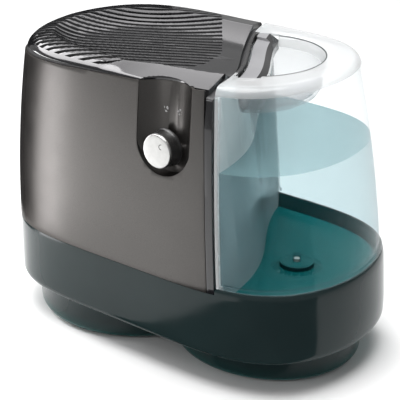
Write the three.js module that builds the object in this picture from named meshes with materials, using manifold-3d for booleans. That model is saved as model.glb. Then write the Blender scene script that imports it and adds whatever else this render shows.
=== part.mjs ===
// Cool mist humidifier: a water tray, a fan housing over a wick filter, and a clear lift-off tank.
// Millimetres, +Z up. The origin is on the floor under the middle of the object's length,
// +X runs along the length towards the tank and the front, with the knob, faces -Y.
import * as THREE from 'three';
import { mergeVertices } from 'three/addons/utils/BufferGeometryUtils.js';
import Module from 'manifold-3d';

const wasm = await Module();
wasm.setup();

// ---- driving dimensions ----
const GAP = 0.4; // clearance between pieces that touch
const WALL = 2.8; // moulded wall of the housing and the tank

// The plan of the body: two half ovals with square shoulders that meet at PLAN_X.
const PLAN_X = -8;
const HALF_LEFT = 213; // housing end
const HALF_RIGHT = 229; // tank end
const HALF_DEPTH = 129;
const END_POWER = 4.7; // squareness of the ends: 2 is an ellipse
const PLAN_POINTS = 36;
const RING_STEP = 45; // height of one ring of the barrel-shaped walls

// Heights
const BAND_BOTTOM = 38.5; // underside of the tray's band, above the two bowls
const JOINT_Z = 111; // housing on tray
const RIM_Z = 116.5; // tray rim round the tank
const TOP_Z = 326; // flat top of the tank and of the grille
const COVER_EDGE_MID = 316.7; // lower edge of the black cover above x = 0
const COVER_EDGE_SLOPE = 0.049; // the edge rises towards the tank
const FLOOR_WALL = 3.5; // thickness of the tray's floors

// The seam between the housing and the tank: an S in plan, at SEAM_Z, leaning as it rises.
const SEAM_Z = 118;
const SEAM = new THREE.CubicBezierCurve(
  new THREE.Vector2(120, -136),
  new THREE.Vector2(117, 10),
  new THREE.Vector2(47, 19),
  new THREE.Vector2(16, 136),
);
const SEAM_LEAN = new THREE.Vector2(-10 / 208, -21 / 208); // sideways per millimetre of rise
const TANK_SEAM = 1.2; // tank wall to the right of the seam
const PANEL_SEAM = -1; // tank-side panel to the left of it
const SHELL_SEAM = -9.5; // metal-coloured shell ends here

// The two bowls under the tray
const FILTER_BOWL = { x: -85, a: 119, b: 122 };
const TANK_BOWL = { x: 97.5, a: 106.5, b: 96.5 };

// Control recess and knob
const KNOB = { x: 52, z: 253, radius: 18.5, back: -116.4, face: -133 };
const RECESS_FLOOR = -108; // deepest line of the scooped recess, in Y at the knob's height
const RECESS_DEPTH = 17;
const RECESS_SCOOP = 35.5; // half width of the scoop where it meets the front
const RECESS_HALF = 34; // half width between the recess's side walls
const RECESS_END_Z = 259; // centre of its round lower end
const RECESS_LEAN = 0.08; // the scoop leans back with the wall

// Fan, motor and filter share one upright axis.
const FAN_X = -85;
const FAN_R = 84;
const DECK_Z = 222;
const FILTER_R = 86;
const FILTER_BORE = 66;

// Tank neck, cap and valve share one upright axis.
const VALVE = { x: 134, y: 2 };
const NECK_R = 31;
const TANK_FLOOR = 99.2;

// Pocket in the tank's top, with the carrying strap across its straight side
const POCKET = { x: 72, y: 2, a: 73, b: 76, floor: 284 };
const STRAP_Z = 318;

// ---- solids ----
function toSolid(geometry) {
  const bare = geometry.clone();
  bare.deleteAttribute('normal');
  bare.deleteAttribute('uv');
  const merged = mergeVertices(bare, 1e-4);
  return new wasm.Manifold(
    new wasm.Mesh({
      numProp: 3,
      vertProperties: Float32Array.from(merged.attributes.position.array),
      triVerts: Uint32Array.from(merged.index.array),
    }),
  );
}

function toGeometry(solid) {
  const mesh = solid.getMesh();
  const geometry = new THREE.BufferGeometry();
  geometry.setAttribute('position', new THREE.BufferAttribute(mesh.vertProperties, 3));
  geometry.setIndex(new THREE.BufferAttribute(mesh.triVerts, 1));
  geometry.computeVertexNormals();
  return geometry;
}

function join(...solids) {
  return solids.reduce((sum, solid) => sum.add(solid));
}

function cut(solid, ...tools) {
  return tools.reduce((rest, tool) => rest.subtract(tool), solid);
}

function common(...solids) {
  return solids.reduce((rest, solid) => rest.intersect(solid));
}

function box(xLow, xHigh, yLow, yHigh, zLow, zHigh) {
  const geometry = new THREE.BoxGeometry(xHigh - xLow, yHigh - yLow, zHigh - zLow);
  geometry.translate((xLow + xHigh) / 2, (yLow + yHigh) / 2, (zLow + zHigh) / 2);
  return toSolid(geometry);
}

// An upright turned solid: profile is [radius, height] pairs, closed round the axis or on itself.
function turned(profile, x, y, segments = 24, depthScale = 1) {
  const geometry = new THREE.LatheGeometry(
    profile.map(([radius, height]) => new THREE.Vector2(radius, height)),
    segments,
  );
  geometry.rotateX(Math.PI / 2);
  geometry.scale(1, depthScale, 1);
  geometry.translate(x, y, 0);
  return toSolid(geometry);
}

function rod(radius, x, y, zLow, zHigh, segments = 20) {
  return turned([[0, zLow], [radius, zLow], [radius, zHigh], [0, zHigh]], x, y, segments);
}

function tube(outer, inner, x, y, zLow, zHigh, segments = 28) {
  const profile = [[inner, zLow], [outer, zLow], [outer, zHigh], [inner, zHigh], [inner, zLow]];
  return turned(profile, x, y, segments);
}

// A rod that lies along Y, for the control and the gland.
function rodAlongY(radius, x, z, yLow, yHigh, segments = 20) {
  const geometry = new THREE.CylinderGeometry(radius, radius, yHigh - yLow, segments);
  geometry.translate(x, (yLow + yHigh) / 2, z);
  return toSolid(geometry);
}

// ---- the body's barrel shape ----
function halfLeft(z) {
  return HALF_LEFT - 0.000404 * Math.max(z - 110, 0) ** 2;
}

function halfRight(z) {
  const rise = Math.max(z - 60, 0);
  return HALF_RIGHT - 0.0568 * rise - 0.000417 * rise ** 2;
}

function halfDepth(z) {
  return HALF_DEPTH - 0.000238 * Math.max(z - 111, 0) ** 2;
}

// The solid inside the body's wall from zLow to zHigh, drawn in by insetAt(z).
function barrel(zLow, zHigh, insetAt, steps = Math.ceil((zHigh - zLow) / RING_STEP)) {
  const outline = new THREE.Shape();
  for (let i = 0; i < PLAN_POINTS; i += 1) {
    const angle = (2 * Math.PI * (i + 0.5)) / PLAN_POINTS;
    const c = Math.cos(angle);
    const along = Math.sign(c) * Math.abs(c) ** (2 / END_POWER);
    outline[i ? 'lineTo' : 'moveTo'](along, Math.sin(angle));
  }
  outline.closePath();
  const geometry = new THREE.ExtrudeGeometry(outline, { depth: zHigh - zLow, steps, bevelEnabled: false });
  const place = geometry.attributes.position;
  for (let i = 0; i < place.count; i += 1) {
    const z = place.getZ(i) + zLow;
    const inset = typeof insetAt === 'function' ? insetAt(z) : insetAt;
    const half = place.getX(i) < 0 ? halfLeft(z) : halfRight(z);
    place.setXYZ(i, PLAN_X + place.getX(i) * (half - inset), place.getY(i) * (halfDepth(z) - inset), z);
  }
  return toSolid(geometry);
}

// Everything to the right of the seam, moved along X by offset.
function rightOfSeam(offset) {
  const far = 400;
  const points = SEAM.getPoints(14);
  const outline = new THREE.Shape(points);
  outline.lineTo(points.at(-1).x, far);
  outline.lineTo(far, far);
  outline.lineTo(far, -far);
  outline.lineTo(points[0].x, -far);
  outline.closePath();
  const geometry = new THREE.ExtrudeGeometry(outline, { depth: far, bevelEnabled: false });
  const lean = new THREE.Matrix4().set(
    1, 0, SEAM_LEAN.x, offset - SEAM_Z * SEAM_LEAN.x,
    0, 1, SEAM_LEAN.y, -SEAM_Z * SEAM_LEAN.y,
    0, 0, 1, 0,
    0, 0, 0, 1,
  );
  geometry.applyMatrix4(lean);
  return toSolid(geometry);
}

// A wall that follows the seam, from one offset to another.
function seamBand(low, high) {
  return cut(rightOfSeam(low), rightOfSeam(high));
}

// Everything above the sloping lower edge of the black cover, lifted by a clearance.
function aboveCoverEdge(lift) {
  const reach = 400;
  const geometry = new THREE.BoxGeometry(2 * reach, 2 * reach, 2 * reach);
  geometry.translate(0, 0, reach);
  const slope = new THREE.Matrix4().set(
    1, 0, 0, 0,
    0, 1, 0, 0,
    COVER_EDGE_SLOPE, 0, 1, COVER_EDGE_MID + lift,
    0, 0, 0, 1,
  );
  geometry.applyMatrix4(slope);
  return toSolid(geometry);
}

// The scooped recess of the control: a hollow cylinder with a round lower end, grown by a wall.
function recess(grow) {
  const radius = (RECESS_SCOOP ** 2 + RECESS_DEPTH ** 2) / (2 * RECESS_DEPTH);
  const y = RECESS_FLOOR - radius;
  const hollow = rod(radius + grow, KNOB.x, y, 180, 360, 28).warp((point) => {
    point[1] += RECESS_LEAN * (point[2] - KNOB.z);
  });
  const half = RECESS_HALF + grow;
  const upper = box(KNOB.x - half, KNOB.x + half, -200, -60, RECESS_END_Z, 360);
  const lower = rodAlongY(half, KNOB.x, RECESS_END_Z, -200, -60, 32);
  return common(hollow, join(upper, lower));
}

// ---- materials ----
function finish(color, roughness, metalness = 0, opacity = 1) {
  return new THREE.MeshStandardMaterial({ color, roughness, metalness, opacity, transparent: opacity < 1 });
}

const FINISH = {
  tray: finish(0x16262a, 0.25),
  shell: finish(0x6b6a68, 0.35, 0.5),
  gloss: finish(0x141416, 0.15),
  inner: finish(0x2b2b2e, 0.6),
  clear: finish(0xdfecee, 0.05, 0, 0.35),
  strap: finish(0x8d8e90, 0.25),
  silver: finish(0xd2d2d0, 0.25, 0.8),
  knob: finish(0x1c1c1d, 0.3),
  rubber: finish(0x202020, 0.85),
  paper: finish(0xe6e3d6, 0.95),
  steel: finish(0xa8a9ab, 0.3, 0.9),
  cap: finish(0x1b4a4e, 0.4),
  seal: finish(0x3a3a3a, 0.8),
};

const humidifier = new THREE.Group();

function add(name, solid, material) {
  const mesh = new THREE.Mesh(toGeometry(solid), material);
  mesh.name = name;
  humidifier.add(mesh);
}

// ---- tray ----
const RUBBER_FEET = [
  ['foot_left_front', FILTER_BOWL.x - 45, -78],
  ['foot_left_rear', FILTER_BOWL.x - 45, 78],
  ['foot_right_front', TANK_BOWL.x + 42, -52],
  ['foot_right_rear', TANK_BOWL.x + 42, 52],
];
const FOOT_R = 9;
const BOWL_BOTTOM = 2;

function bowl({ x, a, b }, inset, zLow, zHigh) {
  const corner = 8;
  const radius = a - inset;
  const profile = [[0, zLow], [radius - corner, zLow], [radius - 2, zLow + corner - 2], [radius, zLow + 20],
    [radius, zHigh], [0, zHigh]];
  return turned(profile, x, 0, 28, (b - inset) / radius);
}

function makeTray() {
  const edge = 7; // rounded-under lower edge of the band
  const rimInset = 1.2;
  const bandInset = (z) => {
    if (z < BAND_BOTTOM + edge) return 0.6 * (BAND_BOTTOM + edge - z);
    return z > RIM_Z - 9 ? (rimInset * (z - RIM_Z + 9)) / 9 : 0;
  };
  const outside = join(
    barrel(BAND_BOTTOM, BAND_BOTTOM + edge, bandInset, 1),
    barrel(BAND_BOTTOM + edge, RIM_Z - 9, 0, 2),
    barrel(RIM_Z - 9, RIM_Z, bandInset, 1),
    bowl(FILTER_BOWL, 0, BOWL_BOTTOM, BAND_BOTTOM + 4),
    bowl(TANK_BOWL, 0, BOWL_BOTTOM, BAND_BOTTOM + 4),
  );
  const floor = BAND_BOTTOM + FLOOR_WALL + 1;
  const wells = join(
    barrel(floor, RIM_Z + 10, 4.2, 2),
    bowl(FILTER_BOWL, FLOOR_WALL, BOWL_BOTTOM + FLOOR_WALL, floor + 10),
    bowl(TANK_BOWL, FLOOR_WALL, BOWL_BOTTOM + FLOOR_WALL, floor + 10),
  );
  const housingSide = cut(box(-300, 300, -200, 200, JOINT_Z, RIM_Z + 10), rightOfSeam(-0.5));
  const shell = cut(outside, wells, housingSide);

  // The housing drops over a low upstand inside its wall.
  const upstand = cut(
    cut(barrel(JOINT_Z - 8, JOINT_Z + 5, WALL + 0.9, 1), barrel(JOINT_Z - 9, JOINT_Z + 6, WALL + 3.3, 1)),
    rightOfSeam(SHELL_SEAM - 4),
  );
  // A wall under the seam parts the filter's well from the tank's; water passes through its low arch.
  const inside = join(
    barrel(BAND_BOTTOM + 1, JOINT_Z - 4, 2, 2),
    bowl(FILTER_BOWL, 1, BOWL_BOTTOM + 1, floor),
    bowl(TANK_BOWL, 1, BOWL_BOTTOM + 1, floor),
  );
  const arch = rodAlongY(13, 0, 0, -200, 200, 16).rotate([0, 0, -62]).translate([85, 0, 22]);
  const parting = cut(common(seamBand(-7, -3.6), inside), arch);
  const shelf = common(seamBand(-7, 4.6), barrel(TANK_FLOOR - 4.4, TANK_FLOOR - 0.6, 3, 1));
  const post = rod(6, VALVE.x, VALVE.y, BOWL_BOTTOM + 1, 58, 20);
  const sockets = RUBBER_FEET.map(([, x, y]) => rod(FOOT_R + GAP, x, y, 0, BOWL_BOTTOM + 1 + GAP));
  return cut(join(shell, upstand, parting, shelf, post), ...sockets);
}

add('base_tray', makeTray(), FINISH.tray);
RUBBER_FEET.forEach(([name, x, y]) => add(name, rod(FOOT_R, x, y, 0, BOWL_BOTTOM + 1), FINISH.rubber));

// ---- wick filter, standing in its bowl ----
const FILTER_BOTTOM = BOWL_BOTTOM + FLOOR_WALL + GAP;
const FILTER_TOP = 196;
add('filter_base_ring',
  tube(FILTER_R + 2, FILTER_BORE - 2, FAN_X, 0, FILTER_BOTTOM, FILTER_BOTTOM + 5), FINISH.inner);
add('wick_filter',
  tube(FILTER_R, FILTER_BORE, FAN_X, 0, FILTER_BOTTOM + 5 + GAP, FILTER_TOP), FINISH.paper);
add('filter_top_ring',
  tube(FILTER_R + 2, FILTER_BORE - 2, FAN_X, 0, FILTER_TOP + GAP, FILTER_TOP + 5), FINISH.inner);

// ---- housing ----
const INTAKE = { xLow: -150, xHigh: -20, zLow: 134, zHigh: 204 };
const GLAND = { x: -182, z: 134, radius: 6 };
const HOUSING_BOTTOM = JOINT_Z + GAP;

function makeHousingShell() {
  const full = barrel(HOUSING_BOTTOM, TOP_Z, 0);
  const outside = cut(full, rightOfSeam(SHELL_SEAM), aboveCoverEdge(-GAP), recess(0));
  const inside = cut(barrel(HOUSING_BOTTOM - 5, TOP_Z + 5, WALL), recess(WALL));
  const window = box(INTAKE.xLow, INTAKE.xHigh, 90, 160, INTAKE.zLow, INTAKE.zHigh);
  const shaftHole = rodAlongY(5.5, KNOB.x, KNOB.z, RECESS_FLOOR - 12, RECESS_FLOOR + 12, 16);
  const glandHole = rodAlongY(GLAND.radius + GAP, GLAND.x, GLAND.z, 40, 160);
  return cut(outside, inside, window, shaftHole, glandHole);
}

add('housing_shell', makeHousingShell(), FINISH.shell);

function makeSidePanel() {
  const strip = 8; // the flanged ends that show as a black strip beside the shell
  const upright = cut(barrel(HOUSING_BOTTOM, TOP_Z, 0.3), aboveCoverEdge(-GAP));
  const whole = common(seamBand(SHELL_SEAM + GAP + 0.1, PANEL_SEAM), upright);
  const middle = barrel(HOUSING_BOTTOM - 5, TOP_Z + 5, strip);
  const hollow = common(seamBand(SHELL_SEAM - 5, PANEL_SEAM - 3.4), middle);
  return cut(whole, hollow);
}

add('side_panel', makeSidePanel(), FINISH.gloss);

// Louvred panel in the back of the housing, where the air enters and meets the filter.
function makeIntakeGrille() {
  const { xLow, xHigh, zLow, zHigh } = INTAKE;
  const skin = cut(barrel(zLow - 10, zHigh + 10, 0.4), barrel(zLow - 20, zHigh + 20, WALL - 0.2));
  const panel = common(skin, box(xLow + GAP, xHigh - GAP, 90, 160, zLow + GAP, zHigh - GAP));
  const pitch = 9;
  const slot = 3.8;
  const slots = [];
  for (let z = zLow + 7; z < zHigh - 6; z += pitch) {
    slots.push(box(xLow + 7, -87, 90, 160, z, z + slot));
    slots.push(box(-83, xHigh - 7, 90, 160, z, z + slot));
  }
  return cut(panel, ...slots);
}

add('intake_grille', makeIntakeGrille(), FINISH.gloss);

// Black top cover with slanting air slots and a shallow dish.
const SLOT_ANGLE = 28; // degrees from +X
const SLOT_PITCH = 9.8;
const SLOT_WIDTH = 4.6;
const SLOT_MID_X = -92;
const DISH_DEPTH = 9;
const DISH_RIM = 26; // how far the dish stays inside the outline at the top

function makeTopCover() {
  const edge = 5;
  const rounded = (z) => {
    const rise = Math.max(z - TOP_Z + edge, 0);
    return edge - Math.sqrt(Math.max(edge ** 2 - rise ** 2, 0));
  };
  const outside = cut(
    common(
      join(barrel(295, TOP_Z - edge, 0, 1), barrel(TOP_Z - edge, TOP_Z, rounded, 2)),
      aboveCoverEdge(0),
    ),
    rightOfSeam(PANEL_SEAM),
    recess(0),
  );
  const plate = 3;
  const room = barrel(290, TOP_Z - plate, WALL + 1.5, 1);
  const hollow = cut(room, rightOfSeam(PANEL_SEAM - 4), recess(plate + 1));
  const floor = TOP_Z - DISH_DEPTH;
  const wallSlope = 1.5;
  const dish = common(
    barrel(floor, TOP_Z + 1, (z) => DISH_RIM + wallSlope * (TOP_Z - z), 1),
    rod(146, -130, 20, 250, 360, 32),
  );
  const underDish = common(
    barrel(floor - plate, TOP_Z + 5, (z) => DISH_RIM - 4 + wallSlope * (TOP_Z - plate - z), 1),
    rod(153, -130, 20, 250, 360, 30),
  );
  const angle = THREE.MathUtils.degToRad(SLOT_ANGLE);
  const bars = [];
  for (let i = -11; i <= 11; i += 1) {
    const geometry = new THREE.BoxGeometry(420, SLOT_WIDTH, 60);
    geometry.translate(0, i * SLOT_PITCH, TOP_Z - 10);
    geometry.rotateZ(angle);
    geometry.translate(SLOT_MID_X, 0, 0);
    bars.push(toSolid(geometry));
  }
  const grilleEnd = rod(150, -130, 20, 250, 360, 32);
  const slots = common(join(...bars), barrel(290, TOP_Z + 4, 13, 1), grilleEnd);
  return cut(outside, cut(hollow, underDish), dish, slots);
}

add('top_cover', makeTopCover(), FINISH.gloss);

// ---- fan deck, motor and fan ----
const DECK_SCREWS = [[-178, -60], [-178, 60], [8, -60], [-2, 60]];
const DECK = 3;
const SCREW_R = 2;

function screw(x, y, zSeat, length) {
  const head = 3.6;
  return turned([[0, zSeat - length], [SCREW_R, zSeat - length], [SCREW_R, zSeat], [head, zSeat],
    [head - 0.8, zSeat + 2.2], [0, zSeat + 2.2]], x, y, 10);
}

const RAIL_TOP = DECK_Z - GAP;

function makeFanDeck() {
  const room = cut(
    barrel(DECK_Z, DECK_Z + DECK, WALL + 0.6, 1),
    rightOfSeam(SHELL_SEAM - 1),
    recess(WALL + 0.6),
    box(KNOB.x - 30, KNOB.x + 60, -140, RECESS_FLOOR + 40, DECK_Z - 1, DECK_Z + 10),
  );
  const collar = rod(FAN_R + 5, FAN_X, 0, DECK_Z, DECK_Z + 38, 32);
  const throat = rod(FAN_R + 2.5, FAN_X, 0, DECK_Z - 1, DECK_Z + 50, 32);
  const holes = DECK_SCREWS.map(([x, y]) => rod(SCREW_R + GAP, x, y, DECK_Z - 1, DECK_Z + 10, 10));
  return cut(join(room, collar), throat, ...holes);
}

add('fan_deck', makeFanDeck(), FINISH.inner);

// Two brackets tie the deck to the shell's wall; the screws bite into them.
function makeDeckRail(xLow, xHigh) {
  const across = box(xLow, xHigh, -140, 140, RAIL_TOP - 8, RAIL_TOP);
  const room = barrel(RAIL_TOP - 20, RAIL_TOP + 5, WALL + 0.6, 1);
  const rail = cut(common(across, room), rightOfSeam(SHELL_SEAM - 1), recess(WALL + 0.6));
  const holes = DECK_SCREWS.map(([x, y]) => rod(SCREW_R + GAP, x, y, RAIL_TOP - 9, RAIL_TOP + 1, 10));
  return cut(rail, ...holes);
}

add('deck_rail_left', makeDeckRail(-186, -172), FINISH.inner);
add('deck_rail_right', makeDeckRail(-4, 12), FINISH.inner);
DECK_SCREWS.forEach(([x, y], i) => {
  add(`deck_screw_${i + 1}`, screw(x, y, DECK_Z + DECK + GAP, 10), FINISH.steel);
});

const MOTOR_BOTTOM = 268;
const MOTOR_TOP = 304;
const MOTOR_R = 30;
const SHAFT_R = 3;
const MOTOR_SCREWS = [90, 210, 330].map((degrees) => THREE.MathUtils.degToRad(degrees));
const SCREW_CIRCLE = 22;

// A round rod at each of the motor's screws.
function motorScrewRods(radius, zLow, zHigh) {
  return MOTOR_SCREWS.map((a) => {
    const x = FAN_X + SCREW_CIRCLE * Math.cos(a);
    return rod(radius, x, SCREW_CIRCLE * Math.sin(a), zLow, zHigh, 10);
  });
}

function makeMotor() {
  const face = MOTOR_BOTTOM + 3;
  const bore = rod(SHAFT_R + 0.5, FAN_X, 0, MOTOR_BOTTOM - 5, MOTOR_BOTTOM + 20, 12);
  const profile = [[0, face], [12, face], [12, MOTOR_BOTTOM + GAP], [13, MOTOR_BOTTOM + GAP], [13, face],
    [MOTOR_R, face], [MOTOR_R, MOTOR_TOP - 4], [MOTOR_R - 4, MOTOR_TOP], [0, MOTOR_TOP]];
  const threads = motorScrewRods(SCREW_R + GAP, MOTOR_BOTTOM, MOTOR_BOTTOM + 12);
  return cut(turned(profile, FAN_X, 0, 24), bore, ...threads);
}

add('fan_motor', makeMotor(), FINISH.steel);

// Three-armed bracket on the collar carries the motor.
function makeMotorBracket() {
  const top = MOTOR_BOTTOM + 3 - GAP;
  const ringLow = DECK_Z + 38 + GAP;
  const arms = MOTOR_SCREWS.map((a) => {
    const geometry = new THREE.BoxGeometry(FAN_R - 2, 10, top - ringLow);
    geometry.translate((FAN_R - 2) / 2 + 6, 0, (top + ringLow) / 2);
    geometry.rotateZ(a);
    geometry.translate(FAN_X, 0, 0);
    return toSolid(geometry);
  });
  const hub = rod(27, FAN_X, 0, top - 3, top, 24);
  const rim = tube(FAN_R + 5, FAN_R, FAN_X, 0, ringLow, ringLow + 4, 32);
  const eye = rod(13.5, FAN_X, 0, ringLow - 5, top + 5, 16);
  return cut(join(rim, hub, ...arms), eye, ...motorScrewRods(SCREW_R + GAP, ringLow - 5, top + 5));
}

add('motor_bracket', makeMotorBracket(), FINISH.inner);
MOTOR_SCREWS.forEach((a, i) => {
  const x = FAN_X + SCREW_CIRCLE * Math.cos(a);
  const y = SCREW_CIRCLE * Math.sin(a);
  const seat = DECK_Z + 38;
  const profile = [[0, seat - 2.2], [2.8, seat - 2.2], [3.6, seat], [SCREW_R, seat], [SCREW_R, seat + 16],
    [0, seat + 16]];
  add(`motor_screw_${i + 1}`, turned(profile, x, y, 10), FINISH.steel);
});

const HUB_R = 24;
const HUB_LOW = 228;
const HUB_HIGH = 252;
add('motor_shaft', rod(SHAFT_R, FAN_X, 0, HUB_LOW + 4, MOTOR_BOTTOM + 19, 12), FINISH.steel);

// Axial fan: a cup-shaped hub with five pitched blades.
function makeFan() {
  const blades = [];
  const count = 5;
  for (let i = 0; i < count; i += 1) {
    const length = FAN_R - 2 - HUB_R + 4;
    const geometry = new THREE.BoxGeometry(length, 46, 2.4, 3, 1, 1);
    geometry.translate(HUB_R - 4 + length / 2, 0, 0);
    const place = geometry.attributes.position;
    for (let k = 0; k < place.count; k += 1) {
      const reach = place.getX(k);
      const pitch = 0.62 - 0.0042 * (reach - HUB_R);
      const y = place.getY(k);
      const z = place.getZ(k);
      const [c, s] = [Math.cos(pitch), Math.sin(pitch)];
      place.setXYZ(k, reach, y * c - z * s, y * s + z * c);
    }
    geometry.rotateZ((2 * Math.PI * i) / count);
    geometry.translate(FAN_X, 0, (HUB_LOW + HUB_HIGH) / 2);
    blades.push(toSolid(geometry));
  }
  const swept = rod(FAN_R - 1, FAN_X, 0, HUB_LOW, HUB_HIGH, 32);
  const profile = [[0, HUB_LOW], [HUB_R - 4, HUB_LOW], [HUB_R, HUB_LOW + 5], [HUB_R, HUB_HIGH], [0, HUB_HIGH]];
  const hub = turned(profile, FAN_X, 0, 20);
  const bore = rod(SHAFT_R + GAP, FAN_X, 0, HUB_LOW + 3, HUB_HIGH + 1, 12);
  return cut(join(common(join(...blades), swept), hub), bore);
}

add('fan', makeFan(), FINISH.knob);

// ---- control ----
const SWITCH_FACE = RECESS_FLOOR + WALL + GAP + 1.8; // front of the switch, behind the recess wall
const STEM_R = 3;
function makeSwitch() {
  const half = 13;
  const { x, z } = KNOB;
  const body = box(x - half, x + half, SWITCH_FACE, SWITCH_FACE + 20, z - half, z + half);
  return cut(body, rodAlongY(STEM_R + 0.5, x, z, SWITCH_FACE - 10, SWITCH_FACE + 8, 12));
}

add('rotary_switch', makeSwitch(), FINISH.inner);
const SHAFT_TIP = KNOB.back - 8;
add('switch_shaft', rodAlongY(STEM_R, KNOB.x, KNOB.z, SHAFT_TIP, SWITCH_FACE + 7, 12), FINISH.steel);

// Tall black knob, its silver face carries the pointer.
const FACE_THICK = 3;
function makeKnob() {
  const length = KNOB.back - KNOB.face - FACE_THICK;
  const skirt = KNOB.radius + 1.5;
  const profile = [[0, 0], [skirt, 0], [skirt, 2], [KNOB.radius, 4], [KNOB.radius, length], [0, length]];
  const body = turned(profile, 0, 0, 32).rotate([90, 0, 0]).translate([KNOB.x, KNOB.back, KNOB.z]);
  return cut(body, rodAlongY(STEM_R + GAP, KNOB.x, KNOB.z, SHAFT_TIP - GAP, KNOB.back + 5, 12));
}

add('knob', makeKnob(), FINISH.knob);
add('knob_face',
  rodAlongY(KNOB.radius - 0.8, KNOB.x, KNOB.z, KNOB.face, KNOB.face + FACE_THICK - GAP, 32), FINISH.silver);

// Cord gland: the ring in the back wall where a lead would enter.
function makeGland() {
  const along = Math.abs(GLAND.x - PLAN_X) / halfLeft(GLAND.z);
  const wallY = halfDepth(GLAND.z) * Math.sqrt(1 - along ** END_POWER);
  return cut(rodAlongY(GLAND.radius, GLAND.x, GLAND.z, wallY - 14, wallY + 6),
    rodAlongY(3.4, GLAND.x, GLAND.z, wallY - 20, wallY + 10, 12));
}

add('cord_gland', makeGland(), FINISH.rubber);

// ---- tank ----
function pocket(grow, zLow) {
  const { x, y, a, b } = POCKET;
  const radius = a + grow;
  const profile = [[0, zLow], [radius - 26, zLow], [radius - 8, zLow + 9], [radius, TOP_Z - 8],
    [radius, TOP_Z + 20], [0, TOP_Z + 20]];
  return turned(profile, x, y, 32, (b + grow) / radius);
}

function strap(side, end, zLow, zHigh) {
  const { x, y, a, b } = POCKET;
  const radius = a + end;
  const oval = turned([[0, zLow], [radius, zLow], [radius, zHigh], [0, zHigh]], x, y, 32, (b + end) / radius);
  return common(seamBand(7.2 - side, 31 + side), oval);
}

function makeTank() {
  const shoulder = 9;
  const round = (radius, top) => (z) => {
    const rise = Math.max(z - top + radius, 0);
    return radius - Math.sqrt(Math.max(radius ** 2 - rise ** 2, 0));
  };
  // The skirt below the rim narrows downwards, so that it clears the tray as the tank is lifted.
  const skirtTaper = 0.1;
  const skirtInset = (grow) => (z) => 5 + grow + skirtTaper * Math.max(RIM_Z - z, 0);
  const wallInset = 1.2;
  const outerRound = round(shoulder, TOP_Z);
  const innerTop = TOP_Z - WALL;
  const innerRound = round(shoulder - WALL, innerTop);
  const seat = RIM_Z + 0.6;
  const outside = common(
    join(
      barrel(TANK_FLOOR, seat + 1, skirtInset(0), 1),
      barrel(seat, TOP_Z - shoulder, wallInset),
      barrel(TOP_Z - shoulder, TOP_Z, (z) => wallInset + outerRound(z), 3),
    ),
    rightOfSeam(TANK_SEAM),
  );
  const inside = common(
    join(
      barrel(TANK_FLOOR + WALL, seat + WALL + 1, skirtInset(WALL), 1),
      barrel(seat + WALL, TOP_Z - shoulder, wallInset + WALL),
      barrel(TOP_Z - shoulder, innerTop, (z) => wallInset + WALL + innerRound(z), 2),
    ),
    rightOfSeam(TANK_SEAM + 3.2),
  );
  const neck = rod(NECK_R, VALVE.x, VALVE.y, 84, TANK_FLOOR + 1, 28);
  const mouth = rod(NECK_R - 3, VALVE.x, VALVE.y, 80, TANK_FLOOR + WALL + 1, 28);
  const hand = common(pocket(0, POCKET.floor), rightOfSeam(TANK_SEAM + 3.2));
  const handWall = common(pocket(2.6, POCKET.floor - 2.6), rightOfSeam(TANK_SEAM));
  const strapSeat = strap(GAP, 6 + GAP, STRAP_Z - GAP, TOP_Z + 5);
  return cut(join(outside, neck), cut(inside, handWall), hand, mouth, strapSeat);
}

add('tank_shell', makeTank(), FINISH.clear);
add('tank_handle', strap(0, 6, STRAP_Z, TOP_Z - 0.6), FINISH.strap);

// Cap, gasket and spring-loaded valve under the tank
const CAP_LOW = 76.5;
const CAP_PLATE = 80;
const STEM_HOLE = 5.5;
function makeCap() {
  const top = 93;
  const profile = [[STEM_HOLE, CAP_LOW], [NECK_R + 3, CAP_LOW], [NECK_R + 5, CAP_LOW + 2], [NECK_R + 5, top],
    [NECK_R + GAP, top], [NECK_R + GAP, CAP_PLATE], [STEM_HOLE, CAP_PLATE], [STEM_HOLE, CAP_LOW]];
  const shell = turned(profile, VALVE.x, VALVE.y, 28);
  const ribs = [];
  const count = 12;
  for (let i = 0; i < count; i += 1) {
    const geometry = new THREE.BoxGeometry(4, 5, 10);
    geometry.translate(NECK_R + 5, 0, top - 7);
    geometry.rotateZ((2 * Math.PI * i) / count);
    geometry.translate(VALVE.x, VALVE.y, 0);
    ribs.push(toSolid(geometry));
  }
  return join(shell, ...ribs);
}

add('tank_cap', makeCap(), FINISH.cap);
add('cap_gasket', tube(NECK_R - 0.5, NECK_R - 5, VALVE.x, VALVE.y, CAP_PLATE + GAP, 84 - GAP), FINISH.seal);

// The cage over the valve holds the spring's upper end.
function makeValveCage() {
  const low = CAP_PLATE + GAP;
  const high = 106;
  const profile = [[16, low], [21, low], [21, low + 2], [18, low + 2], [18, high], [4.2, high],
    [4.2, high - 2], [16, high - 2], [16, low]];
  const cage = turned(profile, VALVE.x, VALVE.y, 18);
  const windows = [0, 60, 120].map((degrees) => box(-30, 30, -5, 5, low + 4, high - 5)
    .rotate([0, 0, degrees]).translate([VALVE.x, VALVE.y, 0]));
  return cut(cage, ...windows);
}

add('valve_cage', makeValveCage(), FINISH.cap);
add('valve_seal', tube(12, 6.4, VALVE.x, VALVE.y, CAP_PLATE + GAP, CAP_PLATE + 2.4, 16), FINISH.seal);
const PLUNGER_DISC = CAP_PLATE + 2.8;
const PLUNGER_PROFILE = [[0, 68], [3, 68], [4, 70], [4, PLUNGER_DISC], [13, PLUNGER_DISC],
  [13, PLUNGER_DISC + 2.5], [3.4, PLUNGER_DISC + 2.5], [3.4, 110], [0, 110]];
add('valve_plunger', turned(PLUNGER_PROFILE, VALVE.x, VALVE.y, 16), FINISH.paper);

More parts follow.
